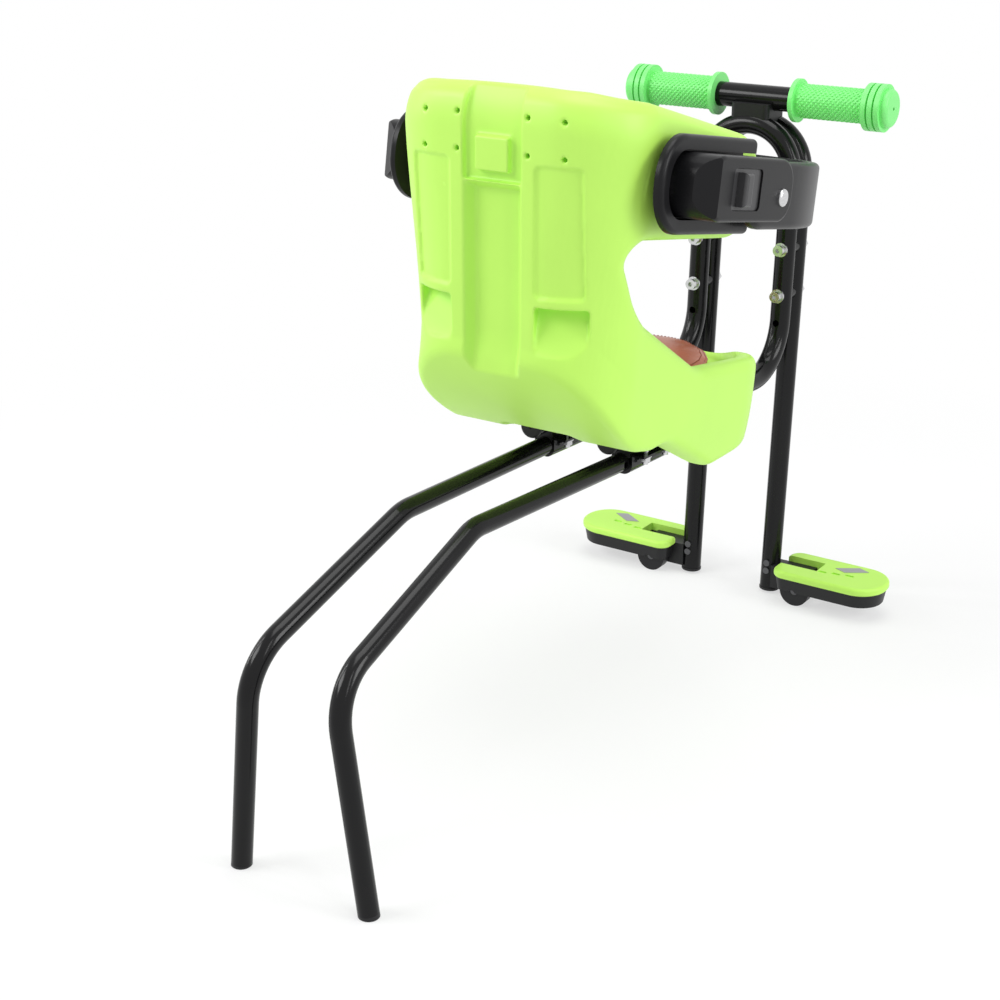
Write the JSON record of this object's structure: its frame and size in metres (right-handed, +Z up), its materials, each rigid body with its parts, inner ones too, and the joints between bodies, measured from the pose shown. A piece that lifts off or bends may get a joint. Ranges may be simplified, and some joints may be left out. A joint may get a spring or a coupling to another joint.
{
  "type": "kids handlebar bike seat",
  "caption": "Child's bicycle seat on a bent tube frame: padded bucket shell, swing-up guard rail with push-button latches, grip bar and fold-up foot pedals.",
  "frame": {"origin": "on the floor below the middle of the part's box", "axes": "+Y the way the child faces, +X to the child's right, +Z up"},
  "size_m": [0.334, 0.7129, 0.541],
  "materials": {
    "tube_black": "gloss",
    "moulded_black": "satin",
    "button_grey": "satin",
    "guard_black": "satin",
    "shell_green": "satin",
    "grip_green": "satin",
    "brown_leather": "satin",
    "insert_grey": "matte",
    "bright_steel": "bright"
  },
  "bodies": {
    "seat": {"back_pad": "brown_leather", "buckle_body_left": "moulded_black", "buckle_body_right": "moulded_black", "button_spring_left": "bright_steel", "button_spring_right": "bright_steel", "carrier_end_plugs": "moulded_black", "carrier_hairpin": "tube_black", "clamp_bolts": "bright_steel", "clamp_nuts": "bright_steel", "clamp_washers": "bright_steel", "grip_left": "grip_green", "grip_right": "grip_green", "guard_rivets": "bright_steel", "hairpin_nuts": "bright_steel", "hairpin_screws": "bright_steel", "hairpin_spacers": "tube_black", "hairpin_washers": "bright_steel", "handlebar_saddle": "moulded_black", "handlebar_tube": "tube_black", "inner_plate_left": "moulded_black", "inner_plate_right": "moulded_black", "latch_base_left": "moulded_black", "latch_base_right": "moulded_black", "latch_rivets": "bright_steel", "leg_channel_left": "tube_black", "leg_channel_right": "tube_black", "leg_end_plugs": "moulded_black", "leg_hairpin": "tube_black", "pedal_knuckle_left": "moulded_black", "pedal_knuckle_right": "moulded_black", "plug_screws": "bright_steel", "rear_leg_caps": "moulded_black", "rear_leg_left": "tube_black", "rear_leg_right": "tube_black", "seat_bolts": "bright_steel", "seat_bridge": "tube_black", "seat_cushion": "brown_leather", "seat_shell": "shell_green", "tube_saddle_left": "moulded_black", "tube_saddle_right": "moulded_black"},
    "guard": {"guard_rail": "guard_black"},
    "button_right": {"release_button_right": "button_grey"},
    "button_left": {"release_button_left": "button_grey"},
    "pedal_right": {"pedal_base_right": "moulded_black", "pedal_cap_right": "shell_green", "pedal_insert_right": "insert_grey", "pedal_pin_right": "bright_steel"},
    "pedal_left": {"pedal_base_left": "moulded_black", "pedal_cap_left": "shell_green", "pedal_insert_left": "insert_grey", "pedal_pin_left": "bright_steel"}
  },
  "joints": [
    {"name": "guard_swing", "type": "hinge", "parent": "seat", "child": "guard", "pos_m": [0, 0.07082, 0.44811], "axis": [1, 0, 0], "range_deg": [0, 90]},
    {"name": "release_button_right", "type": "slide", "parent": "seat", "child": "button_right", "axis": [-1, 0, 0], "range_m": [0, 0.004], "stiffness_N_per_m": 600, "deforming": ["button_spring_right"]},
    {"name": "release_button_left", "type": "slide", "parent": "seat", "child": "button_left", "axis": [1, 0, 0], "range_m": [0, 0.004], "stiffness_N_per_m": 600, "deforming": ["button_spring_left"]},
    {"name": "pedal_fold_right", "type": "hinge", "parent": "seat", "child": "pedal_right", "pos_m": [0.08, 0.32361, 0.015], "axis": [0, -1, 0], "range_deg": [0, 90]},
    {"name": "pedal_fold_left", "type": "hinge", "parent": "seat", "child": "pedal_left", "pos_m": [-0.08, 0.32361, 0.015], "axis": [0, 1, 0], "range_deg": [0, 90]}
  ]
}
